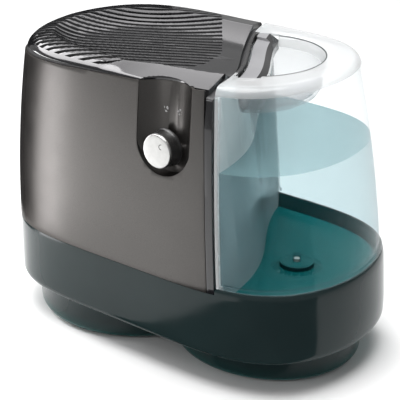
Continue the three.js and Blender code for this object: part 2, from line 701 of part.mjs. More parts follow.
function makeSpring() {
  const low = PLUNGER_DISC + 2.5 + 1.2;
  const high = 104 - 1.2;
  const turns = 3.5;
  const radius = 8;
  const points = [];
  const steps = 6 * turns;
  for (let i = 0; i <= steps; i += 1) {
    const angle = (2 * Math.PI * turns * i) / steps;
    points.push(new THREE.Vector3(VALVE.x + radius * Math.cos(angle), VALVE.y + radius * Math.sin(angle),
      low + ((high - low) * i) / steps));
  }
  const wire = new THREE.Shape();
  wire.absarc(0, 0, 0.8, 0, 2 * Math.PI);
  const geometry = new THREE.ExtrudeGeometry(wire, {
    steps, curveSegments: 5, bevelEnabled: false, extrudePath: new THREE.CatmullRomCurve3(points),
  });
  return toSolid(geometry);
}

add('valve_spring', makeSpring(), FINISH.steel);

export default humidifier;
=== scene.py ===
"""Looks of a cool mist humidifier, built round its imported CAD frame.

Shapes are worked out in millimetres in the frame's own axes: +X towards the water tank, -Y the
front with the knob, +Z up, the origin on the floor. Meshes are scaled to metres as they are made.
"""
import math

import bpy
import numpy as np
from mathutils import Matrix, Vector


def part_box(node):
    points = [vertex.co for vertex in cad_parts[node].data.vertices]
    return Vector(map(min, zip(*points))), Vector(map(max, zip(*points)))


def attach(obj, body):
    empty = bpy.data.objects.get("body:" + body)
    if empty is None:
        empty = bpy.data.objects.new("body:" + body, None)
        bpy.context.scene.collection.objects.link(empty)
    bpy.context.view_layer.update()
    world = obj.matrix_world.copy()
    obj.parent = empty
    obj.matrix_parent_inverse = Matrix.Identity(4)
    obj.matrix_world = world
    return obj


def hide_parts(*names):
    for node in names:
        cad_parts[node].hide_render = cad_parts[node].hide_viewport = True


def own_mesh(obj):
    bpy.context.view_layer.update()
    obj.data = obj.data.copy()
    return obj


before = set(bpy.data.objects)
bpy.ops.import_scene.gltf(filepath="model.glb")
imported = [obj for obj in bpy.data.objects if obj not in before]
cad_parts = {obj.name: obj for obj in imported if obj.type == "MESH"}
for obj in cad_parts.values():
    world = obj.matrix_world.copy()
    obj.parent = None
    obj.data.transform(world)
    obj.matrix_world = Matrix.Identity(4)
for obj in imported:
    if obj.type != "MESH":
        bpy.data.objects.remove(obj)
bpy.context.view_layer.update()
MM = 0.001
scene = bpy.context.scene

# ---- driving dimensions, as in the CAD model (mm) ----
WALL = 2.8
PLAN_X = -8.0
HALF_LEFT = 213.0
HALF_RIGHT = 229.0
HALF_DEPTH = 129.0
END_POWER = 4.7
BAND_BOTTOM = 38.5
JOINT_Z = 111.0
RIM_Z = 116.5
TOP_Z = 326.0
COVER_EDGE_MID = 316.7
COVER_EDGE_SLOPE = 0.049
FLOOR_WALL = 3.5
SEAM_Z = 118.0
SEAM = ((120.0, -136.0), (117.0, 10.0), (47.0, 19.0), (16.0, 136.0))
SEAM_LEAN = (-10.0 / 208.0, -21.0 / 208.0)
TANK_SEAM = 1.2
PANEL_SEAM = -1.0
SHELL_SEAM = -9.5
FILTER_BOWL = (-85.0, 119.0, 122.0)
TANK_BOWL = (97.5, 106.5, 96.5)
KNOB_X, KNOB_Z, KNOB_R, KNOB_BACK, KNOB_FRONT = 52.0, 253.0, 18.5, -116.4, -133.0
RECESS_FLOOR, RECESS_DEPTH, RECESS_SCOOP, RECESS_HALF = -108.0, 17.0, 35.5, 34.0
RECESS_R = (RECESS_SCOOP**2 + RECESS_DEPTH**2) / (2 * RECESS_DEPTH)
RECESS_END_Z = 259.0
RECESS_LEAN = 0.08
VALVE = (134.0, 2.0)
NECK_R = 31.0
TANK_FLOOR = 99.2
POCKET_X, POCKET_Y, POCKET_A, POCKET_B, POCKET_FLOOR = 72.0, 2.0, 73.0, 76.0, 284.0
STRAP_Z = 318.0
WATER_Z = 240.0

OUTLINE_POINTS = 220


# ---- mesh helpers ----
def make_object(name, verts, faces):
    """A mesh object from points in millimetres."""
    mesh = bpy.data.meshes.new(name)
    mesh.from_pydata((np.asarray(verts, float) * MM).tolist(), [], faces)
    mesh.update()
    obj = bpy.data.objects.new(name, mesh)
    scene.collection.objects.link(obj)
    return obj


def loft(name, rings):
    """A closed solid through rings of equal length, counter-clockwise seen from above, going up."""
    count = len(rings[0])
    faces = [tuple(range(count))[::-1]]
    for k in range(len(rings) - 1):
        low, high = k * count, (k + 1) * count
        for i in range(count):
            j = (i + 1) % count
            faces.append((low + i, low + j, high + j, high + i))
    top = (len(rings) - 1) * count
    faces.append(tuple(top + i for i in range(count)))
    return make_object(name, np.concatenate(rings), faces)


def turned(name, profile, x, y, segments=96, depth_scale=1.0):
    """An upright lathe of (radius, height) pairs that start and end on the axis."""
    angles = np.linspace(0, 2 * math.pi, segments, endpoint=False)
    round_ring = np.column_stack([np.cos(angles), np.sin(angles) * depth_scale])
    inner = profile[1:-1]
    verts = [np.column_stack([x + r * round_ring[:, 0], y + r * round_ring[:, 1], np.full(segments, z)])
             for r, z in inner]
    verts.append([[x, y, profile[0][1]], [x, y, profile[-1][1]]])
    low, high = len(inner) * segments, len(inner) * segments + 1
    last = (len(inner) - 1) * segments
    faces = []
    for i in range(segments):
        j = (i + 1) % segments
        faces.append((low, j, i))
        for k in range(len(inner) - 1):
            a, b = k * segments, (k + 1) * segments
            faces.append((a + i, a + j, b + j, b + i))
        faces.append((last + i, last + j, high))
    return make_object(name, np.concatenate(verts), faces)


def rod(x, y, radius, low, high, segments=96):
    """An upright round bar."""
    return turned("tool", [(0, low), (radius, low), (radius, high), (0, high)], x, y, segments)


def lay_along_y(obj, x, y, z):
    """Turns an upright solid made at the origin so that its +Z points to -Y, and places it."""
    for v in obj.data.vertices:
        px, py, pz = v.co
        v.co = (x * MM + px, y * MM - pz, z * MM + py)
    obj.data.update()
    return obj


def peg(radius, length, x, y, z, segments=48):
    """A round bar that runs from a point towards the front."""
    return lay_along_y(rod(0, 0, radius, 0, length, segments), x, y, z)


def block(x0, x1, y0, y1, z0, z1):
    """A box from its six sides."""
    ring = np.array([[x0, y0], [x1, y0], [x1, y1], [x0, y1]])
    return loft("tool", [np.column_stack([ring, np.full(4, z)]) for z in (z0, z1)])


def combine(obj, operation, *tools):
    """Applies one boolean after another and throws the tools away."""
    for tool in tools:
        step = obj.modifiers.new("step", "BOOLEAN")
        step.operation = operation
        step.solver = "MANIFOLD"
        step.object = tool
    return settle(obj, *tools)


def settle(obj, *used):
    """Makes an object's modifiers part of its mesh."""
    bpy.context.view_layer.update()
    graph = bpy.context.evaluated_depsgraph_get()
    mesh = bpy.data.meshes.new_from_object(obj.evaluated_get(graph))
    obj.modifiers.clear()
    old = obj.data
    obj.data = mesh
    bpy.data.meshes.remove(old)
    for tool in used:
        bpy.data.objects.remove(tool)
    return obj


def cut(obj, *tools):
    return combine(obj, "DIFFERENCE", *tools)


def join(obj, *tools):
    return combine(obj, "UNION", *tools)


def common(obj, *tools):
    return combine(obj, "INTERSECT", *tools)


def round_edges(obj, width, segments=2, angle=38):
    """Rounds the sharp edges, as a mould does, and shades the rest smooth."""
    bevel = obj.modifiers.new("edges", "BEVEL")
    bevel.width = width * MM
    bevel.segments = segments
    bevel.limit_method = "ANGLE"
    bevel.angle_limit = math.radians(angle)
    bevel.use_clamp_overlap = True
    bevel.miter_outer = "MITER_ARC"
    settle(obj)
    return shade(obj)


def shade(obj, angle=32):
    for polygon in obj.data.polygons:
        polygon.use_smooth = True
    obj.data.set_sharp_from_angle(angle=math.radians(angle))
    return obj


def wire(name, centre, radii, heights, thick, turns, closed=False, sides=8):
    """A round wire about an upright axis: a closed ring, or a coil that climbs from height to height."""
    steps = int(160 * turns)
    angles = np.linspace(0, 2 * math.pi * turns, steps, endpoint=not closed)
    levels = np.linspace(*heights, steps)
    verts = []
    for angle, level in zip(angles, levels):
        for k in range(sides):
            turn = 2 * math.pi * k / sides
            reach = thick * math.cos(turn)
            verts.append([centre[0] + (radii[0] + reach) * math.cos(angle),
                          centre[1] + (radii[1] + reach) * math.sin(angle), level + thick * math.sin(turn)])
    faces = []
    for i in range(steps if closed else steps - 1):
        j = (i + 1) % steps
        for k in range(sides):
            m = (k + 1) % sides
            faces.append((i * sides + k, j * sides + k, j * sides + m, i * sides + m))
    if not closed:
        faces.append(tuple(range(sides)))
        faces.append(tuple((steps - 1) * sides + k for k in reversed(range(sides))))
    return make_object(name, verts, faces)


# ---- the body's barrel shape ----
def half_left(z):
    return HALF_LEFT - 0.000404 * np.maximum(z - 110, 0) ** 2


def half_right(z):
    rise = np.maximum(z - 60, 0)
    return HALF_RIGHT - 0.0568 * rise - 0.000417 * rise**2


def half_depth(z):
    return HALF_DEPTH - 0.000238 * np.maximum(z - 111, 0) ** 2


def unit_outline(count):
    """The plan's two square-shouldered half ovals, from -1 to 1 each way, with even spacing."""
    t = np.linspace(0, 2 * math.pi, 6001)
    x = np.sign(np.cos(t)) * np.abs(np.cos(t)) ** (2 / END_POWER)
    y = np.sin(t)
    along = np.concatenate([[0], np.cumsum(np.hypot(np.diff(x) * 221, np.diff(y) * HALF_DEPTH))])
    at = np.linspace(0, along[-1], count, endpoint=False)
    return np.interp(at, along, x), np.interp(at, along, y)


UNIT_X, UNIT_Y = unit_outline(OUTLINE_POINTS)


def ring(z, inset=0.0):
    """The body's outline at a height, drawn in by an inset."""
    half = np.where(UNIT_X < 0, half_left(z), half_right(z)) - inset
    x = PLAN_X + UNIT_X * half
    y = UNIT_Y * (half_depth(z) - inset)
    return np.column_stack([x, y, np.full(len(x), float(z))])


def barrel(name, low, high, inset=0.0, step=6.0):
    """The solid inside the body's wall, drawn in by an inset or by inset(z)."""
    levels = np.linspace(low, high, max(2, int((high - low) / step) + 1))
    at = inset if callable(inset) else lambda z: inset
    return loft(name, [ring(z, at(z)) for z in levels])


def stacked(name, pairs):
    """A solid through rings given as (height, inset) pairs."""
    return loft(name, [ring(z, inset) for z, inset in pairs])


def arc(radius, steps=7):
    """(height below the top, inset) pairs of a quarter round, from the wall to the top face."""
    angles = np.linspace(0, math.pi / 2, steps)
    return [(radius * (1 - math.sin(a)), radius * (1 - math.cos(a))) for a in angles]


def bezier(points, count):
    t = np.linspace(0, 1, count)[:, None]
    p = [np.array(q) for q in points]
    return (1 - t) ** 3 * p[0] + 3 * (1 - t) ** 2 * t * p[1] + 3 * (1 - t) * t**2 * p[2] + t**3 * p[3]


def right_of_seam(offset, slant=0.0):
    """Everything to the right of the leaning S-shaped seam, moved along X, slanting about the strap."""
    far = 400.0
    curve = bezier(SEAM, 56)
    corners = [[curve[0][0], -far], [far, -far], [far, far], [curve[-1][0], far]]
    plan = np.concatenate([corners, curve[::-1]])
    rings = []
    for z in (-10.0, far):
        aside = offset + (z - STRAP_Z) * slant + (z - SEAM_Z) * SEAM_LEAN[0]
        shift = np.array([aside, (z - SEAM_Z) * SEAM_LEAN[1]])
        rings.append(np.column_stack([plan + shift, np.full(len(plan), z)]))
    return loft("tool", rings)


def seam_band(low, high):
    """The upright slice between two distances to the right of the seam."""
    return cut(right_of_seam(low), right_of_seam(high))


def above_cover_edge(lift=0.0):
    """Everything above the sloping joint between the shell and the cover."""
    far = 400.0
    corners = [(-far, -far), (far, -far), (far, far), (-far, far)]
    rings = []
    for top in (0.0, far):
        edge = COVER_EDGE_MID + lift + top
        rings.append(np.array([[x, y, edge + COVER_EDGE_SLOPE * x] for x, y in corners]))
    return loft("tool", rings)


def recess(grow=0.0):
    """The scooped recess of the control, leaning back with the wall, grown by a wall."""
    half = RECESS_HALF + grow
    hollow = rod(KNOB_X, RECESS_FLOOR - RECESS_R, RECESS_R + grow, 180, 360, 160)
    for v in hollow.data.vertices:
        v.co.y += RECESS_LEAN * (v.co.z - KNOB_Z * MM)
    upper = block(KNOB_X - half, KNOB_X + half, -200, -60, RECESS_END_Z, 360)
    return common(hollow, join(upper, peg(half, 140, KNOB_X, -60, RECESS_END_Z, 128)))


# ---- materials ----
def new_material(name):
    material = bpy.data.materials.new(name)
    material.use_nodes = True
    nodes = material.node_tree.nodes
    return material, nodes, material.node_tree.links, nodes["Principled BSDF"]


def place(nodes):
    """The position in the frame, in metres, as a texture coordinate."""
    return nodes.new("ShaderNodeTexCoord").outputs["Object"]


def noise(nodes, links, scale, detail=4.0, stretch=None):
    texture = nodes.new("ShaderNodeTexNoise")
    texture.inputs["Scale"].default_value = scale
    texture.inputs["Detail"].default_value = detail
    source = place(nodes)
    if stretch:
        mapping = nodes.new("ShaderNodeMapping")
        mapping.inputs["Scale"].default_value = stretch
        links.new(source, mapping.inputs["Vector"])
        source = mapping.outputs["Vector"]
    links.new(source, texture.inputs["Vector"])
    return texture.outputs["Fac"]


def remap(nodes, links, value, low, high, from_low=0.3, from_high=0.7):
    node = nodes.new("ShaderNodeMapRange")
    for key, number in (("From Min", from_low), ("From Max", from_high), ("To Min", low), ("To Max", high)):
        node.inputs[key].default_value = number
    links.new(value, node.inputs["Value"])
    return node.outputs["Result"]


def clouded(nodes, links, pattern, dark, light):
    """A colour that wanders between two shades with a pattern."""
    return mixed(nodes, links, remap(nodes, links, pattern, 0, 1), dark, light)


def mixed(nodes, links, factor, low, high):
    node = nodes.new("ShaderNodeMix")
    node.data_type = "RGBA"
    node.inputs["A"].default_value = (*low, 1)
    node.inputs["B"].default_value = (*high, 1)
    links.new(factor, node.inputs["Factor"])
    return node.outputs["Result"]


def bump(nodes, links, height, strength, distance, shader):
    node = nodes.new("ShaderNodeBump")
    node.inputs["Strength"].default_value = strength
    node.inputs["Distance"].default_value = distance
    links.new(height, node.inputs["Height"])
    links.new(node.outputs["Normal"], shader.inputs["Normal"])


def plastic(name, dark, light, rough=(0.2, 0.3), grain=900.0, relief=0.00003, metallic=0.0, coat=0.0,
            cloud=14.0, specular=0.5):
    """Moulded plastic: cloudy colour, uneven gloss and a fine grain."""
    material, nodes, links, shader = new_material(name)
    links.new(clouded(nodes, links, noise(nodes, links, cloud), dark, light), shader.inputs["Base Color"])
    links.new(remap(nodes, links, noise(nodes, links, 60.0), *rough), shader.inputs["Roughness"])
    bump(nodes, links, noise(nodes, links, grain, 2.0), 0.5, relief, shader)
    shader.inputs["Metallic"].default_value = metallic
    shader.inputs["Coat Weight"].default_value = coat
    shader.inputs["Coat Roughness"].default_value = 0.08
    shader.inputs["Specular IOR Level"].default_value = specular
    return material


def gunmetal_lacquer():
    """Metallic lacquer: a fine sparkle of flakes under a satin clear coat."""
    material, nodes, links, shader = new_material("gunmetal_lacquer")
    flake = noise(nodes, links, 2600.0, 1.0)
    cloudy = noise(nodes, links, 9.0)
    base = clouded(nodes, links, flake, (0.074, 0.071, 0.068), (0.106, 0.101, 0.097))
    tint = nodes.new("ShaderNodeMix")
    tint.data_type = "RGBA"
    tint.blend_type = "MULTIPLY"
    tint.inputs["Factor"].default_value = 1.0
    links.new(base, tint.inputs["A"])
    links.new(clouded(nodes, links, cloudy, (0.96, 0.96, 0.96), (1, 1, 1)), tint.inputs["B"])
    links.new(tint.outputs["Result"], shader.inputs["Base Color"])
    links.new(remap(nodes, links, noise(nodes, links, 45.0), 0.30, 0.36), shader.inputs["Roughness"])
    bump(nodes, links, flake, 0.25, 0.00002, shader)
    shader.inputs["Metallic"].default_value = 0.9
    shader.inputs["Specular Tint"].default_value = (0.25, 0.24, 0.23, 1)
    shader.inputs["Coat Weight"].default_value = 0.15
    shader.inputs["Coat Roughness"].default_value = 0.18
    return material


def smoked_plastic(name, body_dark, body_light, edge, low_glow):
    """Dark translucent plastic with a painted glow: the base colour turns to the edge teal where a surface
    is seen at a slant, most near the floor, standing in for light that creeps through the plastic.
    """
    material, nodes, links, shader = new_material(name)
    weight = nodes.new("ShaderNodeLayerWeight")
    weight.inputs["Blend"].default_value = 0.35
    body = nodes.new("ShaderNodeMix")
    body.data_type = "RGBA"
    links.new(clouded(nodes, links, noise(nodes, links, 11.0), body_dark, body_light), body.inputs["A"])
    body.inputs["B"].default_value = (*edge, 1)
    split = nodes.new("ShaderNodeSeparateXYZ")
    links.new(place(nodes), split.inputs["Vector"])
    height = remap(nodes, links, split.outputs["Z"], low_glow, 0.05, 0.003, 0.020)
    share = nodes.new("ShaderNodeMath")
    share.operation = "MULTIPLY"
    links.new(weight.outputs["Facing"], share.inputs[0])
    links.new(height, share.inputs[1])
    links.new(share.outputs[0], body.inputs["Factor"])
    links.new(body.outputs["Result"], shader.inputs["Base Color"])
    links.new(remap(nodes, links, noise(nodes, links, 50.0), 0.10, 0.18), shader.inputs["Roughness"])
    bump(nodes, links, noise(nodes, links, 300.0, 2.0), 0.3, 0.00002, shader)
    shader.inputs["Specular IOR Level"].default_value = 0.22
    return material


def facing_power(nodes, links, power, low, high):
    """Rises from low, where a surface faces the viewer, to high at its grazing edge."""
    weight = nodes.new("ShaderNodeLayerWeight")
    weight.inputs["Blend"].default_value = 0.5
    curve = nodes.new("ShaderNodeMath")
    curve.operation = "POWER"
    curve.inputs[1].default_value = power
    links.new(weight.outputs["Facing"], curve.inputs[0])
    return remap(nodes, links, curve.outputs[0], low, high, 0.0, 1.0)


def see_through(name, tint, milk_facing, milk_edge, milk_colour, gloss=(0.035, 0.6), gloss_rough=0.03):
    """Thin clear plastic or water: lets light straight through, mirrors at its edges, slightly milky."""
    material, nodes, links, shader = new_material(name)
    clear = nodes.new("ShaderNodeBsdfTransparent")
    clear.inputs["Color"].default_value = (*tint, 1)
    mirror = nodes.new("ShaderNodeBsdfGlossy")
    mirror.inputs["Roughness"].default_value = gloss_rough
    skin = nodes.new("ShaderNodeMixShader")
    links.new(facing_power(nodes, links, 5.0, *gloss), skin.inputs["Fac"])
    links.new(clear.outputs["BSDF"], skin.inputs[1])
    links.new(mirror.outputs["BSDF"], skin.inputs[2])
    paler = tuple(min(1.0, 1.05 * c) for c in milk_colour)
    milk = clouded(nodes, links, noise(nodes, links, 20.0), milk_colour, paler)
    links.new(milk, shader.inputs["Base Color"])
    links.new(remap(nodes, links, noise(nodes, links, 30.0), 0.12, 0.2), shader.inputs["Roughness"])
    whole = nodes.new("ShaderNodeMixShader")
    links.new(facing_power(nodes, links, 2.5, milk_facing, milk_edge), whole.inputs["Fac"])
    links.new(skin.outputs["Shader"], whole.inputs[1])
    links.new(shader.outputs["BSDF"], whole.inputs[2])
    links.new(whole.outputs["Shader"], nodes["Material Output"].inputs["Surface"])
    return material


def metal(name, colour, rough=(0.2, 0.3), brushed=None):
    """Metal with fine streaks, drawn out along the brushed axis."""
    material, nodes, links, shader = new_material(name)
    streak = noise(nodes, links, 220.0, 3.0, brushed or (1, 1, 1))
    darker = tuple(0.88 * c for c in colour)
    links.new(clouded(nodes, links, streak, darker, colour), shader.inputs["Base Color"])
    links.new(remap(nodes, links, streak, *rough), shader.inputs["Roughness"])
    shader.inputs["Metallic"].default_value = 1.0
    return material


def wick_paper():
    """Corrugated wicking paper: upright flutes round the tube and a fibrous speckle."""
    material, nodes, links, shader = new_material("wick_paper")
    wave = nodes.new("ShaderNodeTexWave")
    wave.bands_direction = "Z"
    wave.inputs["Scale"].default_value = 90.0
    wave.inputs["Distortion"].default_value = 3.0
    wave.inputs["Detail"].default_value = 2.0
    links.new(place(nodes), wave.inputs["Vector"])
    links.new(mixed(nodes, links, wave.outputs["Fac"], (0.42, 0.40, 0.34), (0.74, 0.72, 0.64)),
              shader.inputs["Base Color"])
    bump(nodes, links, wave.outputs["Fac"], 0.8, 0.0008, shader)
    shader.inputs["Roughness"].default_value = 0.95
    return material


GUNMETAL = gunmetal_lacquer()
PIANO_BLACK = plastic("piano_black", (0.006, 0.006, 0.007), (0.010, 0.010, 0.012), (0.10, 0.17), 500.0,
                      0.00001, coat=0.6)
INNER_BLACK = plastic("inner_black", (0.014, 0.014, 0.015), (0.024, 0.024, 0.026), (0.5, 0.65), 700.0,
                      0.0001)
# The tray's smoked plastic; its third colour is a painted teal glow at grazing edges near the floor.
TRAY_SMOKED = smoked_plastic("tray_smoked", (0.010, 0.018, 0.019), (0.014, 0.024, 0.025),
                             (0.0, 0.12, 0.11), 0.9)
# The tray's teal tint inside the wells, painted much brighter than the smoked outside: a painted glow of
# light passing through the plastic.
TRAY_INSIDE_TEAL_AND_GLOW = plastic("tray_inside_teal_and_glow", (0.003, 0.115, 0.122), (0.008, 0.160, 0.165), (0.15, 0.3), 300.0,
                      0.00004)
CLEAR_TANK = see_through("clear_tank", (0.982, 0.990, 0.992), 0.0, 0.16, (0.60, 0.63, 0.65), (0.004, 0.35))
MILKY_WALL = see_through("milky_wall", (0.96, 0.97, 0.975), 0.54, 0.64, (0.68, 0.76, 0.78), (0.004, 0.3))
POCKET_CLEAR = see_through("pocket_clear", (0.90, 0.905, 0.91), 0.06, 0.34, (0.48, 0.49, 0.50), (0.01, 0.5))
SMOKE_LINE = see_through("smoke_line", (0.35, 0.37, 0.38), 0.35, 0.6, (0.12, 0.13, 0.13))
FROSTED_RIM = see_through("frosted_rim", (0.965, 0.975, 0.975), 0.36, 0.74, (0.66, 0.665, 0.67),
                          gloss_rough=0.15)
# The water's top is painted a darker, more opaque teal than its sides: a painted reflection of the surface
# seen at a slant.
WATER_TOP = see_through("water_top", (0.52, 0.63, 0.65), 0.30, 0.36, (0.22, 0.36, 0.38), (0.02, 0.3))
WATER_SIDE = see_through("water_side", (0.70, 0.775, 0.79), 0.0, 0.03, (0.40, 0.55, 0.58), (0.0, 0.05))
CLEAR_FLOOR = see_through("clear_floor", (0.70, 0.95, 0.95), 0.70, 0.80, (0.003, 0.120, 0.122), (0.0, 0.02))
STRAP_GREY = plastic("strap_grey", (0.25, 0.25, 0.26), (0.31, 0.31, 0.32), (0.12, 0.2), 500.0, 0.00002,
                     coat=0.4)
KNOB_BLACK = plastic("knob_black", (0.010, 0.010, 0.010), (0.018, 0.018, 0.018), (0.25, 0.38), 900.0,
                     0.00004)
SILVER = metal("silver_face", (0.50, 0.50, 0.49), (0.28, 0.40))
STEEL = metal("zinc_steel", (0.56, 0.56, 0.57), (0.25, 0.4))
MOTOR_STEEL = metal("motor_steel", (0.42, 0.42, 0.43), (0.35, 0.5), (1, 1, 12))
RUBBER = plastic("foot_rubber", (0.012, 0.012, 0.012), (0.022, 0.022, 0.022), (0.75, 0.9), 1200.0, 0.0002)
SILICONE = plastic("seal_silicone", (0.05, 0.05, 0.05), (0.08, 0.08, 0.08), (0.6, 0.75), 600.0, 0.00008)
CAP_TEAL = plastic("cap_teal", (0.006, 0.055, 0.060), (0.012, 0.080, 0.086), (0.3, 0.42), 800.0, 0.00006)
VALVE_WHITE = plastic("valve_white", (0.58, 0.57, 0.53), (0.66, 0.65, 0.61), (0.35, 0.45), 700.0, 0.00005)
WICK = wick_paper()
PRINT_GREY = plastic("print_grey", (0.30, 0.30, 0.30), (0.36, 0.36, 0.36), (0.5, 0.6), 400.0, 0.00001)


def paint(obj, *materials):
    obj.data.materials.clear()
    for material in materials:
        obj.data.materials.append(material)
    return obj


def finish_piece(obj, body, slot, *replaced):
    """Names what a piece rides on and hides the CAD nodes it stands for. The slot is not used."""
    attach(obj, body)
    if replaced:
        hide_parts(*replaced)
    return obj


def named(obj, name):
    obj.name = name
    obj.data.name = name
    return obj


# ---- tray ----
BOWLS = (FILTER_BOWL, TANK_BOWL)
TRAY_WALL = 4.2
BOWL_BOTTOM, BOWL_FLOOR = 2.0, 5.5
# The round opening through which water passes from the tank's bowl to the filter's.
ARCH_X, ARCH_Z, ARCH_R = 85.0, 22.0, 13.0
ARCH_TURN = math.radians(28)


def bowl_solid(bowl, inset, low, high, corner):
    """An oval bowl with a rounded lower edge."""
    x, a, b = bowl
    radius = a - inset
    profile = [(0, low), (radius - corner, low)]
    profile += [(radius - corner + corner * math.sin(t), low + corner * (1 - math.cos(t)))
                for t in np.linspace(0.2, math.pi / 2, 7)]
    profile += [(radius, high), (0, high)]
    return turned("tool", profile, x, 0, 160, (b - inset) / radius)


def make_tray():
    """The tray: a band with two bowls below it, and a wall that parts its two wells."""
    floor = BAND_BOTTOM + FLOOR_WALL + 1
    edge = 9.0
    under = [(BAND_BOTTOM + edge * (1 - math.sin(t)), 0.6 * edge * (1 - math.cos(t)))
             for t in np.linspace(math.pi / 2, 0, 7)]
    levels = under + [(z, 0.0) for z in np.linspace(BAND_BOTTOM + edge + 6, RIM_Z - 9, 8)]
    levels += [(RIM_Z - 9 + 9 * s, 1.2 * s * s) for s in (0.35, 0.7, 1.0)]
    outer = join(stacked("tray", levels),
                 *(bowl_solid(bowl, 0, BOWL_BOTTOM, BAND_BOTTOM + 6, 9) for bowl in BOWLS))
    wells = join(barrel("tool", floor, RIM_Z + 10, TRAY_WALL),
                 *(bowl_solid(bowl, FLOOR_WALL, BOWL_FLOOR, floor + 10, 7) for bowl in BOWLS))
    housing_side = cut(block(-300, 300, -200, 200, JOINT_Z, RIM_Z + 10), right_of_seam(-0.5))
    shell = cut(outer, wells, housing_side)
    upstand = cut(barrel("tool", JOINT_Z - 8, JOINT_Z + 5, WALL + 0.9),
                  barrel("tool", JOINT_Z - 9, JOINT_Z + 6, WALL + 3.3), right_of_seam(SHELL_SEAM - 4))
    inside = join(barrel("tool", BAND_BOTTOM + 1, JOINT_Z - 4, 2),
                  *(bowl_solid(bowl, 1, 3, floor, 7) for bowl in BOWLS))
    arch = rod(0, 0, ARCH_R, -200, 200, 48)
    for v in arch.data.vertices:
        across, up, along = v.co
        v.co = (ARCH_X * MM + along * math.cos(ARCH_TURN) - across * math.sin(ARCH_TURN),
                along * math.sin(ARCH_TURN) + across * math.cos(ARCH_TURN), ARCH_Z * MM + up)
    parting = cut(common(seam_band(-7, -3.6), inside), arch)
    shelf = common(seam_band(-7, 4.6), barrel("tool", TANK_FLOOR - 4.4, TANK_FLOOR - 0.6, 3))
    post = rod(*VALVE, 6, 3, 58, 48)
    tray = join(shell, upstand, parting, shelf, post)
    feet = [rod(x, y, 9.4, 0, 3.4, 48) for x, y in foot_places()]
    return round_edges(cut(tray, *feet), 0.7, 2)


def foot_places():
    """The middle of each rubber foot."""
    for node in ("foot_left_front", "foot_left_rear", "foot_right_front", "foot_right_rear"):
        low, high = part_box(node)
        yield (low.x + high.x) / 2 / MM, (low.y + high.y) / 2 / MM


def inside_faces(obj, test, index):
    """Gives a second material to the faces whose middle passes the test (millimetres)."""
    for polygon in obj.data.polygons:
        if test(polygon.center / MM, polygon.normal):
            polygon.material_index = index


def in_tank_well(middle, normal):
    """The tray's inner walls and floors, seen through the tank, which take the tray's teal painted brighter
    than its outside as a painted glow of light through the plastic.
    """
    if middle.z < BAND_BOTTOM + FLOOR_WALL:
        x, a, b = TANK_BOWL
        return middle.z > 4.0 and ((middle.x - x) / (a - 2.0)) ** 2 + (middle.y / (b - 2.0)) ** 2 < 1.0
    outline = np.abs((middle.x - PLAN_X) / (half_right(middle.z) - 2.0)) ** END_POWER
    across = (middle.y / (half_depth(middle.z) - 2.0)) ** 2
    return outline + across < 1.0 and middle.z < RIM_Z - 0.5 and middle.x > -20


tray = paint(make_tray(), TRAY_SMOKED, TRAY_INSIDE_TEAL_AND_GLOW)
# painted glow: the wells' faces take the brighter teal
inside_faces(tray, in_tank_well, 1)
finish_piece(named(tray, "tray"), "base", "tray", "base_tray")


# ---- housing ----
INTAKE = (-150.0, -20.0, 134.0, 204.0)
LOUVRE_COLUMNS = ((-143, -108), (-104, -66), (-62, -27))
LOUVRE_PITCH, LOUVRE_OPENING = 6.0, 3.0


def intake_block(gap):
    """The air intake's opening in the back wall, less a gap all round."""
    x0, x1, z0, z1 = INTAKE
    return block(x0 + gap, x1 - gap, 90, 160, z0 + gap, z1 - gap)


def make_shell():
    """The lacquered shell, open below and to the tank, with the control's recess."""
    outer = cut(barrel("shell", JOINT_Z + 0.4, TOP_Z), right_of_seam(SHELL_SEAM), above_cover_edge(-0.4),
                recess())
    inner = cut(barrel("tool", JOINT_Z - 5, TOP_Z + 5, WALL), recess(WALL))
    shaft = peg(5.5, 40, KNOB_X, -90, KNOB_Z)
    gland = peg(6.4, 120, -182, 160, 134)
    return round_edges(cut(outer, inner, intake_block(0.0), shaft, gland), 0.8, 2)


def make_grille():
    """The louvred plate in the back wall."""
    skin = cut(barrel("grille", 124, 214, 0.4), barrel("tool", 114, 224, WALL - 0.2))
    panel = common(skin, intake_block(0.4))
    slots = []
    for z in np.arange(140, 198, LOUVRE_PITCH):
        for x0, x1 in LOUVRE_COLUMNS:
            slots.append(block(x0, x1, 90, 160, z, z + LOUVRE_OPENING))
    return round_edges(cut(panel, *slots), 0.35, 1)


finish_piece(named(paint(make_shell(), GUNMETAL), "shell"), "housing", "shell", "housing_shell")
finish_piece(named(paint(make_grille(), PIANO_BLACK), "rear_louvres"), "housing", "black", "intake_grille")


# ---- slotted top cover ----
DISH_DEPTH = 11.0
DISH_WALL, DISH_WALL_MORE = 26.0, 38.0
CROWN_FALL, CROWN_TILT, CORNER_FALL = 5.2, 2.2, 4.5
CROWN_BACK = 27.0
CROWN_X = (-60.0, -20.0, 13.0, 52.0, 96.0)
CROWN_FRONT = (26.0, 21.0, 33.0, 39.0, 43.0)
SLOT_ANGLE = math.radians(28)
SLOT_PITCH = 9.8
SLOT_WIDTH = 4.7
SLOT_CENTRE_X = -85.0
SLOT_END = ((-140, 130), (-64, 124), (20, 15), (31, -26), (27, -48), (-6, -82), (-54, -130))
COVER_RIGHT = -8.6
COVER_PLATE = 8.5
COVER_STEP = 5.5


